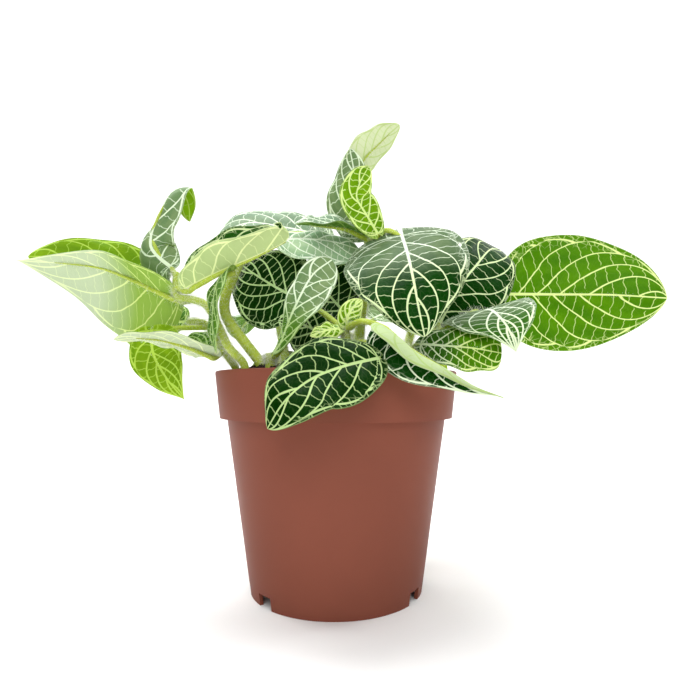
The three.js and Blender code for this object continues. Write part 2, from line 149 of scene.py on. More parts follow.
def finish(name, **constants):
    """A new material: its name, and the shader's constant sockets. Returns it with a first wire."""
    material = bpy.data.materials.new(name)
    material.use_nodes = True
    shader = material.node_tree.nodes["Principled BSDF"]
    for key, value in constants.items():
        shader.inputs[key.replace("_", " ")].default_value = value
    return material, Wire(material.node_tree, None)


def connect(material, **wires):
    """Feeds wires into the shader's sockets, such as Base_Color."""
    shader = material.node_tree.nodes["Principled BSDF"]
    for key, wire in wires.items():
        material.node_tree.links.new(wire.socket, shader.inputs[key.replace("_", " ")])


plastic, wire = finish("terracotta_plastic", Specular_IOR_Level=0.06)
place = wire.node("TexCoord", output=3)
cloud = wire.node("TexNoise", None, {"Vector": place, "Scale": 28.0, "Detail": 3.0})
grain = wire.node("TexNoise", None, {"Vector": place, "Scale": 2600.0, "Detail": 2.0})
plastic_colour = cloud.blend((0.236, 0.072, 0.045, 1), (0.202, 0.064, 0.041, 1))
pressed = wire.node("Bump", None, {"Strength": 0.35, "Distance": 0.00006, "Height": grain})
connect(plastic, Base_Color=plastic_colour, Roughness=cloud * 0.12 + 0.40, Normal=pressed)

pot_points, pot_faces = revolve(
    [
        (AXIS_HOLE, FLOOR_UNDERSIDE),
        (wall_radius(FLOOR_UNDERSIDE) - WALL, FLOOR_UNDERSIDE),
        (BASE_RADIUS - WALL, 0),
        (BASE_RADIUS, 0),
        (wall_radius(SHOULDER / 2), SHOULDER / 2),
        (BODY_TOP_RADIUS, SHOULDER),
        (RIM_FOOT_RADIUS, SHOULDER),
        (RIM_RADIUS, POT_HEIGHT - 0.8),
        (RIM_RADIUS - 0.2, POT_HEIGHT - 0.2),
        (RIM_RADIUS - 0.5, POT_HEIGHT),
        (RIM_RADIUS - WALL + 0.2, POT_HEIGHT),
        (RIM_RADIUS - WALL, POT_HEIGHT - 0.3),
        (RIM_FOOT_RADIUS - WALL, SHOULDER + WALL),
        (BODY_TOP_RADIUS - WALL, SHOULDER),
        (wall_radius(FLOOR_TOP) - WALL, FLOOR_TOP),
        (AXIS_HOLE, FLOOR_TOP),
    ],
    POT_SIDES,
)
floor_middle = len(pot_points) - POT_SIDES
pot_faces = [*pot_faces, range(POT_SIDES - 1, -1, -1), range(floor_middle, floor_middle + POT_SIDES)]
pot = piece("nursery_pot", pot_points, pot_faces, plastic, "pot")
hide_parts("pot")

# Each cutter is the outline of a notch with its floor slot, as (distance from the axis, height),
# carried across the notch's width.
notch_outline = np.array([(28.1, 1), (28.7, 1), (28.7, -5.2), (46.7, -5.2), (46.7, 5.2), (36.1, 5.2),
    (36.1, 7.4), (28.1, 7.4)])
cutter_points, cutter_faces = [], []
for turn in np.radians(NOTCH_TURNS):
    out = np.array((np.sin(turn), -np.cos(turn), 0))
    across = np.array((np.cos(turn), np.sin(turn), 0))
    first = 16 * len(cutter_points)
    cutter_points.append(np.concatenate([
        notch_outline[:, :1] * out + notch_outline[:, 1:] * (0, 0, 1) + side * NOTCH_WIDTH / 2 * across
        for side in (-1, 1)]))
    cutter_faces += [range(first + 7, first - 1, -1), range(first + 8, first + 16)]
    for j in range(8):
        k = (j + 1) % 8
        cutter_faces.append((first + j, first + k, first + 8 + k, first + 8 + j))
cutter_mesh = bpy.data.meshes.new("notch_cutter")
cutter_places = np.concatenate(cutter_points) * MM + POT_AXIS
cutter_mesh.from_pydata(cutter_places.tolist(), [], [list(face) for face in cutter_faces])
cutter = bpy.data.objects.new("notch_cutter", cutter_mesh)
bpy.context.scene.collection.objects.link(cutter)
tidy_cutter = bmesh.new()
tidy_cutter.from_mesh(cutter_mesh)
bmesh.ops.recalc_face_normals(tidy_cutter, faces=tidy_cutter.faces)
tidy_cutter.to_mesh(cutter_mesh)
tidy_cutter.free()
cut = pot.modifiers.new("notches", "BOOLEAN")
cut.operation, cut.solver, cut.object = "DIFFERENCE", "EXACT", cutter
bpy.context.view_layer.objects.active = pot
bpy.ops.object.modifier_apply(modifier=cut.name)
bpy.data.objects.remove(cutter)
pot.data.shade_smooth()
edge = pot.modifiers.new("soft_edges", "BEVEL")
edge.width, edge.segments, edge.limit_method = SOFT_EDGE * MM, 2, "ANGLE"
edge.angle_limit, edge.harden_normals = math.radians(30), True

# The soil
#
# Dark moist potting soil, heaped a little above the rim in the middle. A rough skin of crumbs
# lies on a filling that keeps a hair clear of the pot's wall.

SOIL_EDGE, SOIL_EDGE_RADIUS = 91.5, 50.2
SOIL_GAP = 0.35
SOIL_PROFILE = ((0, 99.0), (21, 98.3), (42, 96.4), (SOIL_EDGE_RADIUS, SOIL_EDGE))
chance = np.random.default_rng(7)


def lumps(x, y, size, seed):
    """Smooth random heights from -1 to 1: values on a square lattice of that size, blended."""
    values = np.random.default_rng(seed).uniform(-1, 1, (64, 64))
    u, v = x / size + 100, y / size + 100
    i, j = np.floor(u).astype(int), np.floor(v).astype(int)
    f, g = u - i, v - j
    f, g = f * f * (3 - 2 * f), g * g * (3 - 2 * g)
    a, b = values[i % 64, j % 64], values[(i + 1) % 64, j % 64]
    c, d = values[i % 64, (j + 1) % 64], values[(i + 1) % 64, (j + 1) % 64]
    return (a * (1 - f) + b * f) * (1 - g) + (c * (1 - f) + d * f) * g


peat, wire = finish("moist_peat", Roughness=0.95, Specular_IOR_Level=0.15)
place = wire.node("TexCoord", output=3)
crumb_tone = wire.node("TexVoronoi", None, {"Vector": place, "Scale": 700.0}, 1)
crumb_tone = wire.node("SeparateColor", None, {0: crumb_tone})
fine = wire.node("TexNoise", None, {"Vector": place, "Scale": 1500.0, "Detail": 4.0})
connect(
    peat,
    Base_Color=(crumb_tone * crumb_tone).blend((0.010, 0.006, 0.004, 1), (0.075, 0.045, 0.028, 1)),
    Normal=wire.node("Bump", None, {"Strength": 0.9, "Distance": 0.0004, "Height": fine}),
)
SOIL_RINGS, SOIL_SIDES = 60, 160
heap_radius = np.linspace(0.05, SOIL_EDGE_RADIUS, SOIL_RINGS)
profile = [(r, np.interp(r, *np.array(SOIL_PROFILE).T)) for r in heap_radius[::-1]]
inward = WALL + SOIL_GAP
filling = [
    (0.05, FLOOR_TOP + SOIL_GAP),
    (wall_radius(FLOOR_TOP) - inward, FLOOR_TOP + SOIL_GAP),
    (BODY_TOP_RADIUS - inward, SHOULDER),
    (RIM_FOOT_RADIUS - inward, SHOULDER + inward),
]
soil_points, soil_faces = revolve([*filling, *profile], SOIL_SIDES)
heap = soil_points[len(filling) * SOIL_SIDES:]
x, y = heap[:, 0], heap[:, 1]
edge_fade = np.clip((SOIL_EDGE_RADIUS - np.hypot(x, y)) / 4, 0, 1)
rough = lumps(x, y, 7, 1) + 0.8 * lumps(x, y, 2.6, 2) + 0.5 * lumps(x, y, 1.1, 3) - 1.0
heap[:, 2] += edge_fade * rough
soil_top = len(soil_points) - SOIL_SIDES
soil_faces = [*soil_faces, range(SOIL_SIDES - 1, -1, -1), range(soil_top, soil_top + SOIL_SIDES)]
soil = piece("potting_soil", soil_points, soil_faces, peat, "soil")
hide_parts("soil")

# A crumb is an eight-sided lump, stretched and dented at random, half sunk in the heap.
CRUMBS, CRUMB_REACH, CRUMB_SINK = 900, 48.5, 1.0
corners = np.array([(1, 0, 0), (0, 1, 0), (-1, 0, 0), (0, -1, 0), (0, 0, 1), (0, 0, -1)], float)
crumb_faces = np.array([(0, 1, 4), (1, 2, 4), (2, 3, 4), (3, 0, 4),
    (1, 0, 5), (2, 1, 5), (3, 2, 5), (0, 3, 5)])
spread = CRUMB_REACH * np.sqrt(chance.uniform(0, 1, CRUMBS))
turn = chance.uniform(0, 2 * np.pi, CRUMBS)
x, y = spread * np.sin(turn), spread * np.cos(turn)
z = np.interp(spread, *np.array(SOIL_PROFILE).T) - CRUMB_SINK
shape = corners * chance.uniform(0.5, 1.5, (CRUMBS, 1, 1)) * chance.uniform(0.7, 1.3, (CRUMBS, 6, 3))
crumb_points = (shape + np.stack([x, y, z], -1)[:, None]).reshape(-1, 3)
crumb_points += 0.3 * chance.normal(size=crumb_points.shape)
crumb_faces = (crumb_faces + 6 * np.arange(CRUMBS)[:, None, None]).reshape(-1, 3)
crumbs = piece("soil_crumbs", crumb_points, crumb_faces, peat, "soil")
crumbs.data.shade_flat()

# How a leafy stem is made
#
# Every stem is soft, round and hairy, and carries its leaves on thin petioles that run on as
# a raised midrib under each blade. A blade is a thin curved sheet, dark between pale veins.

STEM_RADIUS, THIN_STEM_RADIUS, PETIOLE_RADIUS = 2.1, 1.6, 1.15
PLANTED_DEPTH = 13
STATIONS, STRIPS = 48, 12
BASAL_VEINS = 2
RIPPLE, PUCKER = 0.8, 1.5
MIDDLE_THICKNESS, EDGE_THICKNESS = 0.60, 0.26
SIDE_VEIN_HALF, LOOP_HALF, RUNG_HALF = 0.37, 0.28, 0.17
LOOP_PLACE, LOOP_DIP = 0.93, 0.07
PORE, EDGE_CELL = 1.9, 3.8
HAIRS, HAIR_RADIUS, HAIR_FLOOR = 2.6, 0.036, 97

# The colours of a leaf: its upper skin and veins, then its underside and the veins there. A leaf
# with two looks has the first at its base and the second at its tip. Several looks hold painted
# light: a silvery sheen painted into the upper skin, painted shade, or an underside painted lighter.
LOOKS = {
    "dark": ((0.001, 0.032, 0.000), (0.70, 0.84, 0.45), (0.10, 0.22, 0.02), (0.30, 0.46, 0.10)),
    # A darker copy of the dark look with dimmer veins: painted shade for leaves that lie inside the plant.
    "deep": ((0.001, 0.024, 0.000), (0.56, 0.74, 0.36), (0.06, 0.16, 0.02), (0.22, 0.36, 0.08)),
    "draped": ((0.001, 0.021, 0.000), (0.44, 0.60, 0.24), (0.06, 0.16, 0.02), (0.22, 0.36, 0.08)),
    # A dark leaf whose upper skin carries a painted silvery sheen, a reflection of the top light.
    "silver": ((0.140, 0.240, 0.140), (0.80, 0.90, 0.72), (0.10, 0.22, 0.03), (0.26, 0.42, 0.10)),
    # Upper skin painted with a silvery sheen, a reflection of the light; a bright green underside.
    "grey": ((0.136, 0.234, 0.092), (0.78, 0.90, 0.66), (0.36, 0.60, 0.02), (0.70, 0.84, 0.22)),
    "medium": ((0.025, 0.110, 0.004), (0.76, 0.88, 0.58), (0.16, 0.30, 0.03), (0.40, 0.56, 0.12)),
    "bright": ((0.055, 0.196, 0.001), (0.78, 0.92, 0.34), (0.24, 0.42, 0.02), (0.54, 0.70, 0.16)),
    "lime": ((0.126, 0.270, 0.006), (0.44, 0.64, 0.08), (0.30, 0.48, 0.02), (0.50, 0.68, 0.10)),
    "pale": ((0.060, 0.190, 0.010), (0.60, 0.76, 0.30), (0.48, 0.58, 0.37), (0.72, 0.81, 0.47)),
    # A lighter painted silvery sheen, also painted light over the shadow that the leaves above cast.
    "frost": ((0.240, 0.400, 0.220), (0.80, 0.90, 0.72), (0.10, 0.22, 0.03), (0.26, 0.42, 0.10)),
    # Painted shade: a darker green with dim veins for leaves that hang in the others' shadow.
    "shade": ((0.050, 0.145, 0.012), (0.42, 0.58, 0.22), (0.16, 0.30, 0.03), (0.36, 0.52, 0.12)),
    # A darker painted silvery sheen, a reflection of the light, for the base of a dark leaf.
    "steel_sheen": ((0.080, 0.145, 0.060), (0.80, 0.90, 0.72), (0.10, 0.22, 0.03), (0.26, 0.42, 0.10)),
    # The pale look with a darker underside: painted shade at the base of a leaf.
    "shaded": ((0.060, 0.190, 0.010), (0.60, 0.76, 0.30), (0.25, 0.41, 0.06), (0.62, 0.75, 0.24)),
    "mixed": ((0.012, 0.085, 0.003), (0.70, 0.84, 0.42), (0.47, 0.60, 0.25), (0.82, 0.91, 0.45)),
    "folded": ((0.001, 0.034, 0.000), (0.76, 0.88, 0.60), (0.43, 0.54, 0.28), (0.38, 0.51, 0.18)),
    # A pale underside, painted lighter still as if light shone through the leaf from behind.
    "flap": ((0.090, 0.200, 0.030), (0.60, 0.76, 0.36), (0.70, 0.77, 0.50), (0.58, 0.70, 0.30)),
    "young": ((0.110, 0.280, 0.002), (0.74, 0.90, 0.32), (0.34, 0.50, 0.03), (0.60, 0.74, 0.18)),
}

skin, wire = finish("leaf_skin", Specular_IOR_Level=0.03)


def mesh_value(name, output=1):
    """What a leaf's mesh holds under a name: a vector, or a colour from output 0."""
    return wire.node("Attribute", {"attribute_name": name}, None, output)


# Net holds the count of side veins so far, the way out from the midrib (less than 0 on the left)
# and the way in from the margin; form the share of the length, the millimetres from one side vein
# to the next and 1 on the upper side; weave the place on the ladder of rungs, the leaf's own
# number and the gap between rungs.
net = wire.node("SeparateXYZ", None, {0: mesh_value("net")})
form = wire.node("SeparateXYZ", None, {0: mesh_value("form")})
weave = wire.node("SeparateXYZ", None, {0: mesh_value("weave")})
across, inset = net.output(1).size(), net.output(2)
along, gauge, upper = form, form.output(1), form.output(2)
right_half = net.output(1).math("GREATER_THAN", 0.0)
ladder, seed, rung_step = weave, weave.output(1) + 40 * right_half, weave.output(2)
grain = wire.node("CombineXYZ", None, {0: net * 0.9, 1: across / 8.0, 2: seed})
waver = wire.node("TexNoise", None, {"Vector": grain, "Scale": 1.3, "Detail": 2.0})
arcs = net + 0.3 * right_half + (waver - 0.5) * 0.22
strip = arcs.math("FLOOR")
part = arcs - strip
width = across + inset
toward_edge = across / (width + 0.01)


def line(gap, half, soft=0.12):
    """1 within half a vein's width of its middle, fading to 0 over a soft edge (millimetres)."""
    return ((half - gap) / soft + 0.5).clamped()


midrib = line(across, 0.28 + 0.47 * (1 - along))
past_fan = (net + 0.4).math("GREATER_THAN", 0.0)
inside_loops = ((0.92 - toward_edge) * 30).clamped() * (net + 1.5).math("GREATER_THAN", 0.0)
side_vein_half = SIDE_VEIN_HALF - 0.14 * toward_edge
side_vein = line((arcs - arcs.math("ROUND")).size() * gauge, side_vein_half) * inside_loops
loop = line((toward_edge - LOOP_PLACE + LOOP_DIP * part * part).size() * width, LOOP_HALF) * past_fan
quiver = wire.node("TexNoise", None, {"Vector": grain, "Scale": 1.9, "Detail": 1.5})
rung_place = ladder / rung_step + strip * 0.62 + (quiver - 0.5) * 0.7
rung = rung_place.math("ROUND")
rung_name = wire.node("CombineXYZ", None, {0: strip, 1: rung, 2: seed})
reach = wire.node("TexWhiteNoise", {"noise_dimensions": "3D"}, {"Vector": rung_name})
rung_shown = ((0.62 + 1.4 * reach - part) * 8).clamped()
rung_line = line((rung_place - rung).size() * rung_step, RUNG_HALF)
rung_vein = rung_line * rung_shown * (0.55 + 0.17 * upper)
to_walls = {"feature": "DISTANCE_TO_EDGE", "voronoi_dimensions": "3D"}
pore_place = wire.node("CombineXYZ", None, {0: ladder / PORE, 1: net * 3.6, 2: seed})
pores = wire.node("TexVoronoi", to_walls, {"Vector": pore_place, "Scale": 1.0})
cell_place = wire.node("CombineXYZ", None, {0: ladder / EDGE_CELL, 1: across / 3.2, 2: seed})
edge_cells = wire.node("TexVoronoi", to_walls, {"Vector": cell_place, "Scale": 1.0})
edge_net = line(edge_cells * 3.4, 0.13) * ((toward_edge - 0.76) * 8).clamped() * 0.45 * upper
fine_net = edge_net.math("MAXIMUM", line(pores * PORE, 0.05) * 0.03)
coarse_veins = midrib.math("MAXIMUM", side_vein).math("MAXIMUM", loop)
vein = coarse_veins.math("MAXIMUM", rung_vein).math("MAXIMUM", fine_net)
mottle = wire.node("TexNoise", None, {"Vector": grain, "Scale": 1.0, "Detail": 4.0})
lighter = wire.node("Mix", {"data_type": "RGBA", "blend_type": "MULTIPLY"},
    {0: 1.0, 6: mesh_value("skin", 0), 7: (1.9, 1.5, 1.6, 1)}, 2)
ground = ((mottle * 2.4 - 0.9).clamped() * (0.04 + 0.96 * upper)).blend(mesh_value("skin", 0), lighter)
connect(
    skin,
    Base_Color=vein.math("MAXIMUM", line(inset, 0.30, 0.4) * 0.3).blend(ground, mesh_value("veins", 0)),
    Roughness=0.60 - 0.26 * upper + 0.12 * vein,
    Normal=wire.node("Bump", None, {"Strength": 0.6, "Distance": 0.0003,
        "Height": (pores * 0.9).clamped() - (upper - 0.35) * vein}),
)

stalk_skin, wire = finish("stalk_skin", Roughness=0.5, Specular_IOR_Level=0.25)
place = wire.node("TexCoord", output=3)
streak = wire.node("TexNoise", None, {"Vector": place, "Scale": 160.0, "Detail": 3.0})
dimple = wire.node("TexNoise", None, {"Vector": place, "Scale": 1400.0, "Detail": 2.0})
connect(
    stalk_skin,
    Base_Color=streak.blend((0.310, 0.440, 0.012, 1), (0.560, 0.660, 0.110, 1)),
    Normal=wire.node("Bump", None, {"Strength": 0.5, "Distance": 0.0002, "Height": dimple}),
)
hair_skin, wire = finish("hair_skin", Base_Color=(0.92, 0.94, 0.84, 1), Roughness=0.6)


def route(places, shares):
    """Points, unit directions and length of the smooth curve through places, at shares of its
    length. Between two places it is a cubic whose slope at each is half the step between that
    place's neighbours."""
    p = np.array(places, float)
    p = np.vstack([2 * p[0] - p[1], p, 2 * p[-1] - p[-2]])
    spans = len(places) - 1

    def cubic(u):
        i = np.minimum(u.astype(int), spans - 1)
        t = (u - i)[:, None]
        b, c = p[i + 1], p[i + 2]
        m, n = (c - p[i]) / 2, (p[i + 3] - b) / 2
        square, cube = 3 * (c - b) - 2 * m - n, 2 * (b - c) + m + n
        return b + m * t + square * t**2 + cube * t**3, m + 2 * square * t + 3 * cube * t**2

    fine = np.linspace(0, spans, 500)
    spots = cubic(fine)[0]
    run = np.concatenate([[0], np.cumsum(np.linalg.norm(np.diff(spots, axis=0), axis=1))])
    spot, slope = cubic(np.interp(np.asarray(shares, float) * run[-1], run, fine))
    return spot, slope / np.linalg.norm(slope, axis=1, keepdims=True), run[-1]


def tube(places, radii, sides, rows):
    """A round stalk: circles across the curve through places, with radii blended along it, and
    a flat cap at each end. Returns its points, faces and outward directions."""
    shares = np.linspace(0, 1, rows)
    centre, ahead, _ = route(places, shares)
    flat = np.linalg.svd(ahead)[2][2]
    side = np.cross(ahead, flat)
    side /= np.linalg.norm(side, axis=1, keepdims=True)
    other = np.cross(ahead, side)
    turn = np.linspace(0, 2 * np.pi, sides, endpoint=False)[None, :, None]
    outward = side[:, None] * np.cos(turn) + other[:, None] * np.sin(turn)
    radius = np.interp(shares, np.linspace(0, 1, len(radii)), radii)[:, None, None]
    points = (centre[:, None] + outward * radius).reshape(-1, 3)
    last = (rows - 1) * sides
    faces = [*ring_faces(rows, sides), range(sides - 1, -1, -1), range(last, last + sides)]
    return points, faces, outward.reshape(-1, 3)


def facing(face, along, s):
    """The side that the top looks to at shares s: hints spaced evenly, made square to along."""
    hint = np.array(face, float)
    even = np.linspace(0, 1, len(hint))
    up = np.stack([np.interp(s, even, hint[:, k]) for k in range(3)], -1)
    up -= (up * along).sum(1, keepdims=True) * along
    return up / np.linalg.norm(up, axis=1, keepdims=True)


def blade(seed, look, midrib, face, half, rise=(8, 8), curl=(-6, -6), lobe=2, ends=(0.5, 0.72)):
    """A thin sheet about its midrib. With s along the midrib and q from 0 there to 1 at the
    margin, the half-width is half (s/w)^a ((1-s)/(1-w))^b with w = a/(a+b). A half leaves the
    midrib at its rise and turns to its curl at the margin, in degrees above the flat; at the base
    the margin sweeps back by lobe q^2 (1-s)^3, along its way it ripples, and the skin puckers up
    between side veins. With k = half / length,
    lead = 0.33 k q + 0.7 k q^6 and u from s = u + lead + 4 k q u (1 - u), side veins lie where
    pairs (1 - (1-u)^1.8) is a whole number; nearer the base, where u < 0, they fan out where
    BASAL_VEINS (s / lead - 1) is one. Rungs join them every twelfth of the length. Returns
    points, faces, vein values, colours."""
    s = (1 - np.cos(np.pi * np.linspace(0, 1, STATIONS + 1))) / 2
    v = np.linspace(-1, 1, 2 * STRIPS + 1)
    centre, along, length = route(midrib, s)
    up = facing(face, along, s)
    right = np.cross(along, up)
    a, b = ends
    w = a / (a + b)
    outline = (s / w) ** a * ((1 - s) / (1 - w)) ** b
    side = (v > 0).astype(int)
    half, rise, curl = (np.array(pair, float)[side] for pair in (half, rise, curl))
    q = np.abs(v)
    width = np.maximum(half * outline[:, None], 1.1 - 0.95 * s[:, None])

    def bend(share):
        """A half's angle above the flat, at a share of the way out to the margin."""
        return np.radians(rise + (curl - rise) * share)

    pairs = np.clip(length / 14, 4.4, 5.2)
    k = half / length
    lead, lead_by_q = np.maximum(0.33 * k * q + 0.7 * k * q**6, 1e-4), k * (0.33 + 4.2 * q**5)
    fan = np.maximum(4 * k * q, 1e-3)
    beyond = s[:, None] - lead
    u = (1 + fan - np.sqrt((1 + fan) ** 2 - 4 * fan * beyond)) / (2 * fan)
    left = np.maximum(1 - u, 0)
    arcs = np.where(beyond > 0, pairs * (1 - left**1.8), BASAL_VEINS * (s[:, None] / lead - 1))
    by_u = 1.8 * pairs * left**0.8 / np.maximum(1 + fan - 2 * fan * u, 0.15)
    by_s = np.where(beyond > 0, by_u, BASAL_VEINS / lead)
    fan_by_q = BASAL_VEINS * s[:, None] * lead_by_q / lead**2
    by_q = np.where(beyond > 0, by_u * (lead_by_q + 4 * k * u * left), fan_by_q)
    gauge = 1 / np.hypot(by_s / length, by_q / np.maximum(width, 1))
    wave = RIPPLE * outline[:, None] * q**2 * np.sin(5 * np.pi * s[:, None] + 2 * side)
    puff = np.abs(np.sin(np.pi * (arcs + 0.3 * side))) - 0.5
    pucker = PUCKER * np.minimum(outline[:, None], 1) * q * (1 - q) * puff
    spot = (centre[:, None]
        + right[:, None] * (np.sign(v) * width * q * np.cos(bend(q / 2)))[..., None]
        + up[:, None] * (width * q * np.sin(bend(q / 2)) + wave + pucker)[..., None]
        - along[:, None] * (lobe * q**2 * (1 - s[:, None]) ** 3)[..., None])
    out = up[:, None] * np.cos(bend(q))[:, None] - right[:, None] * (np.sign(v) * np.sin(bend(q)))[:, None]
    thick = (MIDDLE_THICKNESS + (EDGE_THICKNESS - MIDDLE_THICKNESS) * q[:, None]) / 2
    points = np.concatenate([(spot + out * thick).reshape(-1, 3), (spot - out * thick).reshape(-1, 3)])
    rows, columns = len(s), len(v)
    i, j = (grid.ravel() for grid in np.mgrid[0:rows - 1, 0:columns - 1])
    here, after = i * columns + j, (i + 1) * columns + j
    quad = np.stack([here, here + 1, after + 1, after], -1)
    low = rows * columns
    rim = np.concatenate([np.arange(columns), columns * np.arange(1, rows) + columns - 1,
        columns * (rows - 1) + np.arange(columns - 2, -1, -1), columns * np.arange(rows - 2, 0, -1)])
    onward = np.roll(rim, -1)
    margin = np.stack([rim, low + rim, low + onward, onward], -1)
    faces = np.concatenate([quad, low + quad[:, ::-1], margin])

    def spread(*layers):
        """Values over the grid, for the points of the top and again for those of the underside."""
        layers = np.broadcast_arrays(*layers)
        return np.tile(np.stack(layers, -1).reshape(-1, len(layers)), (2, 1))

    net = spread(arcs, np.sign(v) * width * q, width * (1 - q))
    form = spread(s[:, None], gauge, np.ones((1, 1)))
    form[low:, 2] = 0
    rung_gap = np.clip(length / 12, 2.5, 5.2)
    weave = spread(length * s[:, None] + 0.2 * width * q, 0 * arcs + seed, 0 * arcs + rung_gap)
    share = np.repeat(np.clip(3.5 * s - 1.0, 0, 1), columns)[:, None]
    base, tip = (LOOKS[name] for name in (look if isinstance(look, tuple) else (look, look)))
    skin, veins, under, ribs = ((1 - share) * (*a, 1) + share * (*b, 1) for a, b in zip(base, tip))
    return points, faces, (net, form, weave), (np.concatenate([skin, under]), np.concatenate([veins, ribs]))


def gather(parts):
    """Points and faces of several parts as one mesh's."""
    first = np.cumsum([0] + [len(points) for points, _ in parts])
    faces = [np.asarray(face) + start for (_, some), start in zip(parts, first) for face in some]
    return np.concatenate([points for points, _ in parts]), faces


def grow(name, stem, leaves, radius=STEM_RADIUS):
    """One leafy stem that stands for its solid: stalks, blades and hairs."""
    x, y, z = stem[0]
    planted = [(x, y, z - PLANTED_DEPTH), (x, y, z - PLANTED_DEPTH / 2), *stem]
    chance = np.random.default_rng(len(name) + len(leaves))
    tubes = [tube(planted, radius * np.array((1, 1, 1, 0.95, 0.9, 0.8)), 14, 44)]
    sheets = []
    for leaf in leaves:
        leaf = dict(leaf)
        seed = round(sum(leaf["midrib"][0])) % 23 + 1
        start = leaf.pop("start")
        s = np.array((0, 0.08, 0.3, 0.55, 0.8))
        centre, along, _ = route(leaf["midrib"], s)
        under = centre - facing(leaf["face"], along, s) * np.array((1.15, 1.1, 0.75, 0.5, 0.35))[:, None]
        thinning = (PETIOLE_RADIUS, PETIOLE_RADIUS, 1.05, 0.8, 0.55, 0.35, 0.15)
        tubes.append(tube([*start, *under], thinning, 10, 40))
        sheets.append(blade(seed, **leaf))
    piece(name + "_stalks", *gather([t[:2] for t in tubes]), stalk_skin, "foliage")
    blades = piece(name + "_leaves", *gather([b[:2] for b in sheets]), skin, "foliage")
    for kind, labels, field, part in (
        ("FLOAT_VECTOR", ("net", "form", "weave"), "vector", 2),
        ("FLOAT_COLOR", ("skin", "veins"), "color", 3),
    ):
        for k, label in enumerate(labels):
            layer = blades.data.attributes.new(label, kind, "POINT")
            values = np.concatenate([b[part][k] for b in sheets]).astype(np.float32)
            layer.data.foreach_set(field, values.ravel())
    blades.data.set_sharp_from_angle(angle=1.0)
    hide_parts(name)

    # A hair is a three-sided spike that stands out of its stalk and leans a little, each its own
    # way. The stem's own are twice as long, and three times as close.
    roots, ways = np.concatenate([t[0] for t in tubes]), np.concatenate([t[2] for t in tubes])
    on_stem = np.arange(len(roots)) < len(tubes[0][0])
    above = roots[:, 2] > HAIR_FLOOR
    odds = np.where(on_stem, 3.0, 1.0) * above
    pick = chance.choice(len(roots), int(HAIRS * odds.sum()), p=odds / odds.sum())
    way = ways[pick] + 0.5 * chance.normal(size=(len(pick), 3))
    way /= np.linalg.norm(way, axis=1, keepdims=True)
    root = roots[pick] + 0.6 * chance.normal(size=(len(pick), 3)) - 0.3 * ways[pick]
    side = np.cross(way, (0.3, 0.2, 0.9))
    side /= np.linalg.norm(side, axis=1, keepdims=True)
    other = np.cross(way, side)
    foot = [root + HAIR_RADIUS * (side * math.cos(t) + other * math.sin(t)) for t in (0, 2.094, 4.189)]
    tip = root + way * (chance.uniform(0.6, 1.5, len(pick)) * np.where(on_stem[pick], 2.0, 1.0))[:, None]
    spikes = np.stack([*foot, tip], 1).reshape(-1, 3)
    spike_faces = np.array([(0, 1, 3), (1, 2, 3), (2, 0, 3), (0, 2, 1)])
    spike_faces = spike_faces + 4 * np.arange(len(pick))[:, None, None]
    piece(name + "_hairs", spikes, spike_faces.reshape(-1, 3), hair_skin, "foliage")


# The stem that arches up at the left
#
# A hairy stem leans out over the rim and bends back above the pot. Two leaves with a painted
# silvery sheen lie high over the soil on long petioles, and one leaf, painted in shade, hangs
# with its edge to the front.

grow(
    "shoot_left_arch",
    stem=[(-30, -22, 97), (-36.5, -22, 106), (-44, -21, 116), (-45, -20, 124), (-42.5, -17, 133),
        (-39, -15, 142), (-34, -10, 151), (-24, 4, 158)],
    leaves=[
        dict(look="silver", start=[(-26, 2, 157), (-12, 18, 162)],
            midrib=[(-4, 24, 162.5), (-24, 24, 166.5), (-43, 22, 168.5), (-57, 18, 162)],
            face=[(0, -0.75, 0.66), (-0.1, -0.75, 0.66)], half=(15, 14)),
        dict(look="frost", start=[(-34, -9, 150), (-29, -7, 151)],
            midrib=[(-26, -6, 152), (-14, -4, 153), (-1, 1, 153), (10, 6, 151)],
            face=[(0, -0.8, 0.6), (-0.1, -0.9, 0.45)], half=(6, 15), ends=(0.5, 0.5)),
        dict(look="shade", start=[(-43, -18, 131), (-41, -25, 134)],
            midrib=[(-40, -30, 133), (-42.5, -33, 131), (-44.8, -35, 125), (-45.8, -35, 116),
                (-45.8, -34.5, 108), (-45, -34, 101)], face=[(-0.75, -0.55, 0.3), (-0.85, -0.52, 0.1)],
            half=(7, 7)),
    ],
)
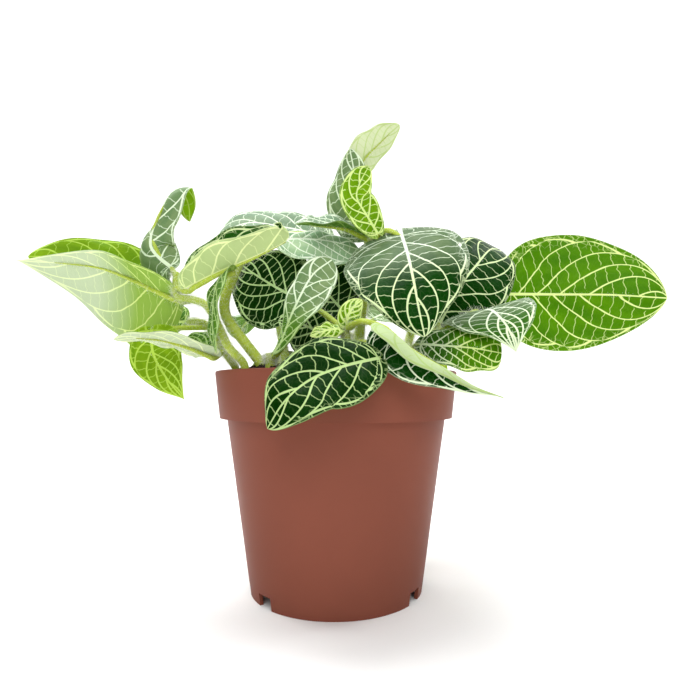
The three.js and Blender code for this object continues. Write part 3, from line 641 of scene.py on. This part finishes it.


# The leafy stem at the far left
#
# A long stem reaches out past the rim. Its lowest leaf shows its pale underside, with painted
# shade at its base, a bright leaf lies behind that one, one leaf stands up folded, its skin
# painted with a silvery sheen, and one arches towards the middle.

grow(
    "shoot_left",
    stem=[(-36, -26, 97), (-42, -27, 104), (-47, -26, 114), (-52, -23, 121), (-59, -19, 124),
        (-66, -16, 126), (-67, -14, 136)],
    leaves=[
        dict(look=("shaded", "pale"), start=[(-59, -18, 124), (-63, -13, 124)],
            midrib=[(-66, -11, 125), (-78, -8, 130), (-95, 0, 138), (-115, 5, 144), (-146, 5, 146)],
            face=[(0.2, 0.75, 0.65), (0.2, 0.75, 0.65)], half=(13, 30), rise=(-10, -10), curl=(-20, -40),
            ends=(0.45, 1.2)),
        dict(look="lime", start=[(-66, -15, 127), (-70, 4, 132)],
            midrib=[(-78, 11, 136), (-101, 16, 147), (-122, 16, 150), (-144, 10, 149)],
            face=[(0, -0.9, 0.4), (0, -0.9, 0.4)], half=(10, 12), ends=(0.9, 0.65)),
        dict(look="grey", start=[(-67, -14, 134)],
            midrib=[(-70, -12, 139), (-75, -11, 143), (-79, -10, 148), (-78.5, -10, 154), (-76, -9, 160.5),
                (-73, -9, 168), (-70.5, -7, 173), (-69, -3, 175.2), (-67.5, 0.5, 173.4), (-66.5, 2.5, 169),
                (-66.5, 3, 163)],
            face=[(0.2, -1, 0.1), (-0.2, -1, 0), (-0.7, -0.7, 0), (-0.7, -0.6, 0.3), (-0.2, 0, 1),
                (0.2, 0.9, 0.2)], half=(17, 10.5), rise=(-5, -14), curl=(-74, -40), ends=(0.36, 0.7)),
        dict(look="mixed", start=[(-67, -15, 130)],
            midrib=[(-61, -20, 128), (-51, -25, 131.5), (-43, -27, 134.5), (-35, -28, 137.5),
                (-27, -28, 141), (-20, -28, 144.5), (-18, -27, 148), (-20, -26, 151), (-24, -25, 153)],
            face=[(-0.3, -0.15, 0.93), (-0.3, -0.12, 0.93), (-0.5, -0.1, 0.8), (-0.95, -0.1, 0.2)],
            half=(14.5, 11), rise=(80, 60), curl=(74, 50), ends=(0.5, 0.75)),
    ],
    radius=THIN_STEM_RADIUS,
)


# The low stem at the left
#
# A short stem that leans out just over the rim, with two bright leaves hanging beside the pot,
# one pale leaf seen from below and one in its shade, the shade painted into its colour.

grow(
    "shoot_low_left",
    stem=[(-44, -4, 96), (-49, -6, 104), (-56, -6, 115), (-65, -4, 117)],
    leaves=[
        dict(look="bright", start=[(-62, -5, 117)], midrib=[(-69, 5, 118), (-88, 17, 118), (-107, 20, 115)],
            face=[(0, -0.9, 0.4), (0, -0.9, 0.4)], half=(11, 11)),
        dict(look="pale", start=[(-49, -6, 104)],
            midrib=[(-50, -17, 101), (-61, -28, 105), (-73, -32, 107), (-84, -34, 106)],
            face=[(0, 0.2, 0.98), (0, 0.2, 0.98)], half=(10, 10)),
        dict(look="lime", start=[(-56, -6, 114), (-68, -12, 113)],
            midrib=[(-77, -14, 112), (-76, -15, 102), (-70, -17, 92), (-62, -19, 83)],
            face=[(-0.2, -0.95, 0.2), (-0.2, -0.95, 0.2)], half=(14, 11), ends=(0.35, 1.1)),
        dict(look="shade", start=[(-49, -6, 103)], midrib=[(-54, -2, 105), (-62, 2, 108), (-71, 4, 108)],
            face=[(0, -0.8, 0.6), (0, -0.8, 0.6)], half=(8, 8)),
    ],
    radius=THIN_STEM_RADIUS,
)


# The narrow leaf at the front
#
# A young shoot at the soil with one narrow leaf, which stands up and shows its edge; its base is
# painted in shade and its tip with a silvery sheen.

grow(
    "shoot_centre_left",
    stem=[(-25, -30, 97), (-25, -30, 101)],
    leaves=[
        dict(look=("shade", "grey"), start=[(-25, -30, 99)],
            midrib=[(-23, -33, 101), (-20, -34, 105), (-17, -34, 113), (-13, -34, 122), (-8, -33, 131),
                (-1, -31, 137)], face=[(-0.9, -0.4, 0), (-0.5, -0.85, 0), (0, -1, 0.1)], half=(6, 11),
            ends=(0.85, 0.45)),
    ],
)


# The stem at the front
#
# A short stem behind the front rim. One leaf drapes over the rim, one is folded along its
# midrib, dark ones painted in shade lie behind and two young leaves open at its tip.

grow(
    "shoot_centre",
    stem=[(6, -30, 97.5), (5, -31, 103), (4, -32, 111)],
    leaves=[
        dict(look="deep", start=[(4, -31, 110), (-6, -20, 119)],
            midrib=[(-14, -8, 125), (-25, -4, 131), (-36, -1, 138), (-44, 1, 144)],
            face=[(-0.1, -0.95, 0.2), (-0.1, -0.95, 0.2)], half=(20, 18)),
        dict(look="draped", start=[(5, -31, 104), (12, -42, 104)],
            midrib=[(16, -54, 97.5), (4, -58, 94.5), (-7, -60, 90), (-15, -63, 83), (-21, -61, 74)],
            face=[(0, -0.77, 0.64), (-0.5, -0.8, 0.3)], half=(16, 15)),
        dict(look="folded", start=[(4, -32, 110), (10, -41, 112)],
            midrib=[(17, -46, 110), (23, -51, 105), (29, -55, 99), (38, -56, 94), (48, -55, 88),
                (59, -52, 84)], face=[(0, -1, 0.1), (0, -1, 0.1)], half=(8, 12), rise=(100, -5),
            curl=(165, 0), ends=(0.42, 1.6)),
        dict(look="young", start=[(4, -32, 110)],
            midrib=[(5, -34, 111), (5, -36, 114), (7, -37, 117.5), (10.5, -38, 120.5)],
            face=[(0, -1, 0), (0, -1, 0)], half=(4, 5)),
        dict(look="young", start=[(4, -32, 110)], midrib=[(2, -34, 110), (-3, -36, 109), (-9, -37, 107)],
            face=[(0, -0.8, 0.6), (0, -0.8, 0.6)], half=(4, 4)),
        dict(look="deep", start=[(5, -30, 103), (2, -20, 104)],
            midrib=[(-2, -16, 107), (-9, -14, 112), (-16, -14, 115), (-24, -14, 116)],
            face=[(0, -1, 0.1), (0, -1, 0.1)], half=(12.5, 9)),
    ],
)


# The tall stem in the middle
#
# The tallest stem: a broad heart-shaped leaf, with a silvery sheen painted at its base, faces
# the front, others spread at the top, two of them with a painted silvery sheen, one lies low
# inside painted in shade, and the uppermost leaf leans to the right and shows its pale
# underside, painted lighter as if lit through.

grow(
    "shoot_top",
    stem=[(10, 0, 98.5), (11, 4, 119), (14, 3, 141), (17, -4, 154)],
    leaves=[
        dict(look="silver", start=[(16, -2, 151)],
            midrib=[(13, 1, 156), (4, -4, 158), (-7, -10, 157), (-17, -14, 156.5)],
            face=[(0, -0.42, 0.9), (0, -0.42, 0.9)], half=(6, 12), rise=(25, 22), curl=(20, 15)),
        dict(look="grey", start=[(15, 2, 147)],
            midrib=[(14, 4, 157), (11, 6, 167), (8, 7, 176), (8, 7, 187), (6, 7, 198)],
            face=[(-0.5, -0.85, 0), (-0.5, -0.85, 0)], half=(15, 9), ends=(0.5, 0.75)),
        dict(look="flap", start=[(15, 3, 148), (11, 11, 165), (7, 13, 180)],
            midrib=[(9, 13, 190), (12, 14, 196), (18, 14, 202), (24, 12, 207), (29, 9, 210)],
            face=[(-0.3, 0.7, 0.65), (-0.3, 0.6, 0.75)], half=(7.5, 10), ends=(0.3, 0.6)),
        dict(look="young", start=[(17, -4, 152)],
            midrib=[(18, -8, 154), (13, -9, 162), (9, -9, 169), (10, -9, 175), (14, -8, 183)],
            face=[(0, -1, 0), (0, -1, 0)], half=(8, 7), rise=(25, 25), curl=(10, 10), ends=(0.5, 0.6)),
        dict(look=("steel_sheen", "dark"), start=[(17, -4, 153), (22, -7, 156)],
            midrib=[(28, -12, 152), (29, -26, 140), (30, -38, 126), (31, -43, 116), (33, -44, 106)],
            face=[(-0.22, -0.64, 0.76), (0, -1, 0.05)], half=(25, 27), rise=(8, 8), curl=(-28, -28),
            ends=(0.28, 0.75), lobe=8),
        dict(look="deep", start=[(11, 4, 117)],
            midrib=[(6, 8, 120), (-2, 10, 129), (-10, 11, 138), (-18, 10, 145)],
            face=[(-0.2, -0.95, 0.2), (-0.2, -0.95, 0.2)], half=(13, 18)),
    ],
)


# The stem that leans to the right
#
# A stem that runs out over the rim at the right to one big bright leaf, with a dark leaf
# above and two silvery ones below; that silvery look is a painted sheen.

grow(
    "shoot_right",
    stem=[(27, -14, 98), (36, -16, 106), (49, -13, 113), (60, -2, 120), (70, 14, 127)],
    leaves=[
        dict(look="dark", start=[(44, -14, 110)],
            midrib=[(45, -6, 116), (54, 0, 132), (64, 8, 144), (73, 18, 154), (81, 30, 158)],
            face=[(0.5, -0.75, 0.3), (0.3, -0.6, 0.8)], half=(18, 21)),
        dict(look=("steel_sheen", "medium"), start=[(60, -2, 120)],
            midrib=[(64, -10, 121), (65, -18, 119), (67, -27, 113), (68, -33, 107), (69, -35, 101)],
            face=[(-0.2, -0.4, 0.88), (-0.2, -0.7, 0.6)], half=(18, 21), ends=(0.35, 1.2)),
        dict(look=("medium", "bright"), start=[(34, -16, 104)],
            midrib=[(34, -24, 105), (45, -26, 104), (55, -27, 103), (65.5, -28, 101)],
            face=[(0.1, -0.8, 0.6), (0.1, -0.8, 0.6)], half=(12, 12), ends=(0.5, 0.3)),
        dict(look="bright", start=[(69, 13, 126.5)],
            midrib=[(80, 23, 134), (109, 24, 134), (133, 20, 133), (155, 12, 130)],
            face=[(0, -1, 0), (0, -1, 0)], half=(31, 28), rise=(-4, -4), curl=(-12, -12),
            ends=(0.46, 0.66)),
    ],
)


# The stem at the back
#
# The side that the photograph does not show: leaves spread and droop over the back rim as the
# ones at the front do.

grow(
    "shoot_back",
    stem=[(8, 22, 98), (9, 30, 108), (11, 42, 122), (14, 56, 134)],
    leaves=[
        dict(look="dark", start=[(14, 56, 133)],
            midrib=[(15, 62, 140), (16, 76, 148), (18, 92, 149), (20, 106, 142)],
            face=[(0, -0.2, 1), (0, 0.4, 0.9)], half=(19, 19)),
        dict(look="silver", start=[(12, 48, 127)],
            midrib=[(4, 52, 131), (-7, 58, 137), (-18, 63, 138), (-29, 68, 133)],
            face=[(0, -0.1, 1), (-0.2, 0.2, 0.95)], half=(13, 13)),
        dict(look="grey", start=[(11, 42, 121)],
            midrib=[(19, 50, 126), (31, 62, 132), (42, 75, 132), (50, 86, 125)],
            face=[(0, -0.6, 0.8), (0.1, -0.5, 0.85)], half=(15, 15)),
        dict(look="dark", start=[(10, 36, 114)],
            midrib=[(3, 44, 119), (-8, 54, 124), (-18, 64, 124), (-27, 72, 118)],
            face=[(0, 0.3, 0.95), (-0.2, 0.5, 0.85)], half=(14, 14)),
        dict(look="dark", start=[(9, 30, 107)],
            midrib=[(8, 44, 110), (7, 60, 106), (5, 70, 94), (3, 74, 78)], face=[(0, 0.3, 1), (0, 1, 0.2)],
            half=(17, 17)),
    ],
)


# The stem at the back left
#
# A second stem on the unseen side, with leaves over the back left of the rim.

grow(
    "shoot_back_left",
    stem=[(-24, 16, 98), (-27, 22, 110), (-30, 28, 124), (-33, 36, 136)],
    leaves=[
        dict(look="dark", start=[(-33, 36, 135)],
            midrib=[(-34, 42, 140), (-37, 54, 146), (-39, 68, 145), (-41, 80, 137)],
            face=[(0, -0.2, 1), (0, 0.5, 0.85)], half=(15, 15)),
        dict(look="silver", start=[(-29, 26, 119)],
            midrib=[(-34, 34, 123), (-44, 46, 127), (-53, 59, 125), (-60, 71, 117)],
            face=[(-0.2, 0.1, 1), (-0.4, 0.3, 0.9)], half=(14, 14)),
        dict(look="grey", start=[(-28, 24, 113)],
            midrib=[(-22, 26, 117), (-13, 28, 122), (-4, 29, 124), (3, 28, 121)],
            face=[(0, -0.5, 0.87), (0.2, -0.5, 0.87)], half=(11, 11)),
        dict(look="dark", start=[(-26, 20, 106)],
            midrib=[(-29, 34, 106), (-33, 48, 101), (-37, 58, 90), (-39, 62, 76)],
            face=[(-0.2, 0.4, 0.9), (-0.4, 0.9, 0.2)], half=(14, 14)),
    ],
)


# The stem at the back right
#
# The third stem on the unseen side, with leaves over the back right of the rim.

grow(
    "shoot_back_right",
    stem=[(30, 14, 98), (34, 22, 108), (38, 32, 120), (42, 44, 130)],
    leaves=[
        dict(look="dark", start=[(42, 44, 129)],
            midrib=[(45, 51, 138), (51, 62, 147), (57, 75, 149), (62, 88, 142)],
            face=[(0, -0.2, 1), (0.1, 0.5, 0.85)], half=(15, 15)),
        dict(look="dark", start=[(38, 32, 119)],
            midrib=[(47, 35, 119), (61, 41, 121), (74, 48, 118), (84, 55, 109)],
            face=[(0, 0.1, 1), (0.4, 0.2, 0.9)], half=(14, 14)),
        dict(look="silver", start=[(36, 27, 114)],
            midrib=[(35, 20, 120), (31, 11, 126), (27, 2, 128), (24, -6, 126)],
            face=[(0, 0.4, 0.9), (0, 0.1, 1)], half=(11, 11)),
        dict(look="grey", start=[(34, 22, 107)],
            midrib=[(39, 36, 107), (44, 48, 102), (48, 58, 90), (49, 62, 76)],
            face=[(0.2, 0.4, 0.9), (0.5, 0.85, 0.2)], half=(14, 14)),
    ],
)

# The white sweep, the studio lights and the camera
#
# A plain white sheet runs from under the pot up behind it. One wide soft light hangs above and
# behind, two stand behind the camera, and two wash the sheet. None of it is the object.

ROOM_GLOW = 0.15

paper, wire = finish("white_paper", Base_Color=(0.96, 0.96, 0.96, 1), Roughness=0.9, Specular_IOR_Level=0.1)
turn = np.linspace(0, np.pi / 2, 24)
sheet_y = np.concatenate([[-1.6, 0.0, 0.9], 0.9 + 0.6 * np.sin(turn[1:]), [1.5]])
sheet_z = np.concatenate([[0, 0, 0], 0.6 - 0.6 * np.cos(turn[1:]), [2.6]])
sweep_points = np.stack([np.stack([0 * sheet_y + side, sheet_y, sheet_z], -1) for side in (-2.4, 2.4)])
rows = len(sheet_y)
sweep_mesh = bpy.data.meshes.new("sweep")
sweep_mesh.from_pydata(sweep_points.reshape(-1, 3).tolist(), [],
    [(rows + i, rows + i + 1, i + 1, i)[::-1] for i in range(rows - 1)])
sweep_mesh.materials.append(paper)
sweep_mesh.shade_smooth()
sweep = bpy.data.objects.new("sweep", sweep_mesh)
bpy.context.scene.collection.objects.link(sweep)

# A light's name, its place, what it looks at, its width (metres) and its power (watts).
for name, spot, aim, size, power in (
    ("top_light", (-0.15, 0.20, 1.05), (0, 0, 0.1), 0.6, 11.0),
    ("front_light", (-0.40, -1.05, 1.15), (0, -0.1, 0.05), 1.1, 5.2),
    ("floor_light", (0.10, -0.85, 0.60), (0, -0.25, 0), 0.6, 4.0),
    ("wall_light_left", (-1.2, 0.55, 1.5), (-0.3, 1.5, 0.5), 0.8, 22.0),
    ("wall_light_right", (1.2, 0.55, 1.5), (0.3, 1.5, 0.5), 0.8, 22.0),
):
    lamp = bpy.data.lights.new(name, "AREA")
    lamp.size, lamp.energy = size, power
    holder = bpy.data.objects.new(name, lamp)
    bpy.context.scene.collection.objects.link(holder)
    holder.location = spot
    holder.rotation_euler = Vector(np.array(aim) - spot).to_track_quat("-Z", "Y").to_euler()
world = bpy.data.worlds.new("room")
world.use_nodes = True
world.node_tree.nodes["Background"].inputs[0].default_value = (1, 1, 1, 1)
world.node_tree.nodes["Background"].inputs[1].default_value = ROOM_GLOW
bpy.context.scene.world = world
bpy.context.scene.view_settings.view_transform = "Standard"

# The camera stands level, at the height and distance that the rim's and the foot's ellipses
# give. The picture's middle lies above the horizon by a share of its width.
PHOTO_WIDTH, HORIZON_DROP = 700, 41
view = bpy.data.cameras.new("photo_camera")
view.sensor_width, view.lens, view.shift_y = 36, 26.54, HORIZON_DROP / PHOTO_WIDTH
view.clip_start, view.clip_end = 0.01, 20
camera = bpy.data.objects.new("photo_camera", view)
camera.location = (0.0014, -0.2489, 0.0864)
camera.rotation_euler = (math.pi / 2, 0, 0)
bpy.context.scene.collection.objects.link(camera)
bpy.context.scene.camera = camera
